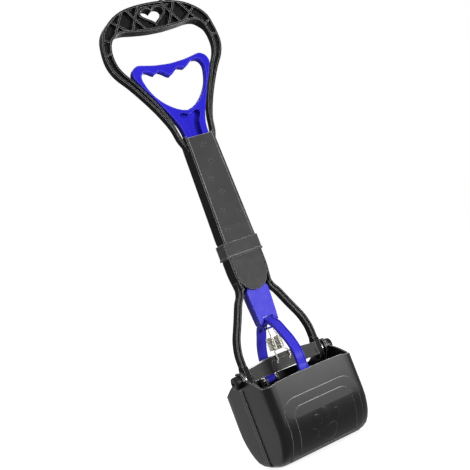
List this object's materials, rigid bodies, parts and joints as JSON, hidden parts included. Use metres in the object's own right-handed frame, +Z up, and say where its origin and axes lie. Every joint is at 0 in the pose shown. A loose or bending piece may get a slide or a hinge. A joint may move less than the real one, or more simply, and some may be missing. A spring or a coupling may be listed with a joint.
{
  "type": "pooper scooper",
  "caption": "Long-handled pet waste scooper: hand loop with sliding trigger, folding shaft, wishbone fork and a bucket of two jaws that the trigger opens.",
  "frame": {"origin": "on the floor under the middle of the shut bucket, with the part upright", "axes": "+Z up the shaft to the hand loop, -Y out of the front with the trigger's pocket, X along the jaws' axle"},
  "size_m": [0.1662, 0.1184, 0.6096],
  "materials": {
    "black_plastic": "satin moulded black",
    "blue_plastic": "semi-gloss moulded royal blue",
    "steel": "bright zinc plated"
  },
  "bodies": {
    "fork": {"fork_frame": "black_plastic", "lower_front_plate": "black_plastic", "left_plate_screw": "steel", "right_plate_screw": "steel", "crossbar": "black_plastic", "left_hinge_bolt": "black_plastic", "right_hinge_bolt": "black_plastic", "left_hinge_nut": "steel", "right_hinge_nut": "steel", "left_hinge_washer": "steel", "right_hinge_washer": "steel", "left_fold_pin": "steel", "right_fold_pin": "steel", "left_spring": "steel", "right_spring": "steel"},
    "handle": {"handle_frame": "black_plastic", "shaft_front_cover": "black_plastic", "lower_left_cover_screw": "steel", "lower_right_cover_screw": "steel", "upper_left_cover_screw": "steel", "upper_right_cover_screw": "steel"},
    "collar": {"lock_collar": "black_plastic"},
    "trigger": {"trigger": "blue_plastic"},
    "rod": {"pull_rod": "blue_plastic", "rod_link_pin": "steel", "front_arm_pin": "steel", "rear_arm_pin": "steel"},
    "front_arm": {"front_arm": "blue_plastic", "front_jaw_pin": "steel"},
    "rear_arm": {"rear_arm": "blue_plastic", "rear_jaw_pin": "steel"},
    "front_jaw": {"front_jaw": "black_plastic"},
    "rear_jaw": {"rear_jaw": "black_plastic"}
  },
  "joints": [
    {"name": "shaft_fold", "type": "hinge", "parent": "fork", "child": "handle", "pos_m": [0, 0.005, 0.268], "axis": [-1, 0, 0], "range_deg": [0, 130]},
    {"name": "collar_slide", "type": "slide", "parent": "handle", "child": "collar", "axis": [0, 0, 1], "range_m": [0, 0.1215]},
    {"name": "rod_pull", "type": "slide", "parent": "fork", "child": "rod", "axis": [0, 0, 1], "range_m": [0, 0.036], "stiffness_N_per_m": 500, "springref_m": -0.012, "deforming": ["left_spring", "right_spring"]},
    {"name": "trigger_slide", "type": "slide", "parent": "handle", "child": "trigger", "axis": [0, 0, 1], "range_m": [0, 0.036]},
    {"name": "front_arm_swing", "type": "hinge", "parent": "rod", "child": "front_arm", "pos_m": [0, -0.0036, 0.171], "axis": [-1, 0, 0], "range_deg": [0, 0.5]},
    {"name": "rear_arm_swing", "type": "hinge", "parent": "rod", "child": "rear_arm", "pos_m": [0, 0.0036, 0.171], "axis": [1, 0, 0], "range_deg": [0, 0.5]},
    {"name": "front_jaw_hinge", "type": "hinge", "parent": "fork", "child": "front_jaw", "pos_m": [0, 0, 0.1125], "axis": [-1, 0, 0], "range_deg": [0, 42]},
    {"name": "rear_jaw_hinge", "type": "hinge", "parent": "fork", "child": "rear_jaw", "pos_m": [0, 0, 0.1125], "axis": [1, 0, 0], "range_deg": [0, 42]}
  ],
  "couplings": [
    {"joint": "collar_slide", "follows": "shaft_fold", "m_per_rad": 0.0535},
    {"joint": "trigger_slide", "follows": "rod_pull", "ratio": 1},
    {"joint": "front_arm_swing", "follows": "rod_pull", "rad_per_m": 0.2424},
    {"joint": "rear_arm_swing", "follows": "rod_pull", "rad_per_m": 0.2424},
    {"joint": "front_jaw_hinge", "follows": "rod_pull", "rad_per_m": 20.36},
    {"joint": "rear_jaw_hinge", "follows": "rod_pull", "rad_per_m": 20.36}
  ]
}
